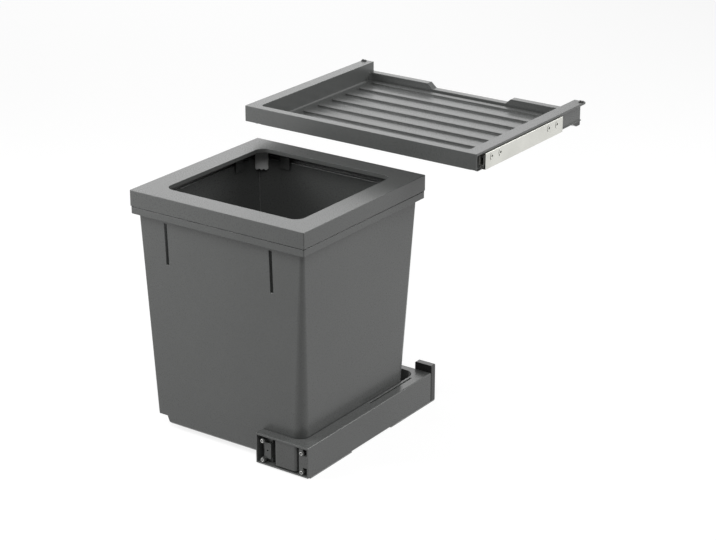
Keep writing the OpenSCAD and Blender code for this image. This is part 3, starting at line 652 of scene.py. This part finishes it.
def seen_directly(nodes, links):
    """1 where a ray comes from the camera or by way of gloss or glass, 0 for soft light."""
    path = nodes.new("ShaderNodeLightPath")
    value = path.outputs["Is Camera Ray"]
    for name in ("Is Glossy Ray", "Is Transmission Ray"):
        highest = nodes.new("ShaderNodeMath")
        highest.operation = "MAXIMUM"
        links.new(value, highest.inputs[0])
        links.new(path.outputs[name], highest.inputs[1])
        value = highest.outputs["Value"]
    return value


def grey(tone):
    """Grey of that tone, as the colour sockets take it."""
    return (tone, tone, tone, 1)


def floor_material():
    """Pale floor that glows where it is seen and throws little light back on the part."""
    material = bpy.data.materials.new("pale_floor")
    material.use_nodes = True
    nodes, links = material.node_tree.nodes, material.node_tree.links
    nodes.clear()
    output = nodes.new("ShaderNodeOutputMaterial")
    soft = nodes.new("ShaderNodeBsdfDiffuse")
    soft.inputs["Color"].default_value = grey(FLOOR_SOFT_TONE)
    pale = nodes.new("ShaderNodeBsdfDiffuse")
    pale.inputs["Color"].default_value = grey(FLOOR_PALE_TONE)
    white = nodes.new("ShaderNodeEmission")
    white.inputs["Strength"].default_value = FLOOR_GLOW
    shown = nodes.new("ShaderNodeMixShader")
    shown.inputs["Fac"].default_value = FLOOR_GLOW_SHARE
    links.new(pale.outputs["BSDF"], shown.inputs[1])
    links.new(white.outputs["Emission"], shown.inputs[2])
    either = nodes.new("ShaderNodeMixShader")
    links.new(seen_directly(nodes, links), either.inputs["Fac"])
    links.new(soft.outputs["BSDF"], either.inputs[1])
    links.new(shown.outputs["Shader"], either.inputs[2])
    links.new(either.outputs["Shader"], output.inputs["Surface"])
    return material


def add_floor():
    """Wide floor at the foot of the part, which isn't part of the object."""
    bpy.ops.object.select_all(action="DESELECT")
    bpy.ops.mesh.primitive_plane_add(size=FLOOR_SIZE, location=(0, 0, CAD_BOX[0].z))
    floor = bpy.context.active_object
    floor.name = "floor"
    floor.data.materials.append(floor_material())


def add_sky(level):
    """White sky, seen at its full strength, that lights the part at a lower level."""
    world = bpy.data.worlds.new("sky")
    bpy.context.scene.world = world
    world.use_nodes = True
    nodes, links = world.node_tree.nodes, world.node_tree.links
    background = nodes["Background"]
    strength = nodes.new("ShaderNodeMapRange")
    strength.inputs["To Min"].default_value = level
    strength.inputs["To Max"].default_value = 1.0
    links.new(seen_directly(nodes, links), strength.inputs["Value"])
    links.new(strength.outputs["Result"], background.inputs["Strength"])
    background.inputs["Color"].default_value = grey(1)


def add_lamp(name, power, side, place, aim):
    """Square lamp that shines from its place on the aim."""
    lamp = bpy.data.lights.new(name, "AREA")
    lamp.energy, lamp.size = power, side
    lamp_object = bpy.data.objects.new(name, lamp)
    bpy.context.scene.collection.objects.link(lamp_object)
    lamp_object.location = place
    lamp_object.visible_camera = False
    lamp_object.rotation_euler = (aim - place).to_track_quat("-Z", "Y").to_euler()


def add_camera(settings):
    """Camera at the photograph's viewing angle."""
    camera = bpy.data.objects.new("camera", bpy.data.cameras.new("camera"))
    bpy.context.scene.collection.objects.link(camera)
    camera.data.lens = settings.lens
    camera.data.sensor_width = SENSOR_WIDTH
    camera.data.clip_start, camera.data.clip_end = CLIP_START, CLIP_END
    turn = Matrix.Rotation(settings.azimuth, 4, "Z")
    tilt = Matrix.Rotation(radians(90) - settings.elevation, 4, "X")
    level = Matrix.Rotation(settings.roll, 4, "Z")
    camera.matrix_world = Matrix.Translation(settings.place) @ turn @ tilt @ level
    bpy.context.scene.camera = camera


class FITTING_OT_stage(bpy.types.Operator):
    """Make the floor, the sky, the lamps and the camera"""
    bl_idname = "fitting.stage"
    bl_label = "Stage"

    def execute(self, context):
        settings = context.scene.fitting_stage
        middle = (CAD_BOX[0] + CAD_BOX[1]) / 2
        add_floor()
        add_sky(settings.sky)
        for name, (side, offset) in LAMPS.items():
            add_lamp(name + "_lamp", getattr(settings, name), side, middle + Vector(offset), middle)
        add_camera(settings)
        context.scene.view_settings.view_transform = "Standard"
        return {"FINISHED"}


OPERATORS = (
    FITTING_OT_bag_frame, FITTING_OT_bin, FITTING_OT_housing, FITTING_OT_base_rail,
    FITTING_OT_runners, FITTING_OT_tray, FITTING_OT_stage,
)


SETTINGS = {
    "fitting_colours": FittingColours,
    "fitting_edges": FittingEdges,
    "fitting_details": FittingDetails,
    "fitting_stage": FittingStage,
}


class FITTING_PT_sidebar(bpy.types.Panel):
    """Lists the pieces of the fitting and their settings"""
    bl_idname = "FITTING_PT_sidebar"
    bl_label = "Waste Bin Fitting"
    bl_space_type = "VIEW_3D"
    bl_region_type = "UI"
    bl_category = "Fitting"

    def draw(self, context):
        for operator in OPERATORS:
            self.layout.operator(operator.bl_idname)
        for group in SETTINGS:
            settings = getattr(context.scene, group)
            column = self.layout.column()
            for name in settings.__annotations__:
                column.prop(settings, name)


CLASSES = (*SETTINGS.values(), *OPERATORS, FITTING_PT_sidebar)


def register():
    """Adds the classes and the settings to Blender."""
    for each in CLASSES:
        bpy.utils.register_class(each)
    for name, group in SETTINGS.items():
        setattr(bpy.types.Scene, name, bpy.props.PointerProperty(type=group))


def unregister():
    """Takes the settings and the classes out again."""
    for name in SETTINGS:
        delattr(bpy.types.Scene, name)
    for each in reversed(CLASSES):
        bpy.utils.unregister_class(each)


def main():
    """Makes every piece and the stage."""
    register()
    bpy.ops.fitting.bag_frame()
    bpy.ops.fitting.bin()
    bpy.ops.fitting.housing()
    bpy.ops.fitting.base_rail()
    bpy.ops.fitting.runners()
    bpy.ops.fitting.tray()
    bpy.ops.fitting.stage()


if __name__ == "__main__":
    main()
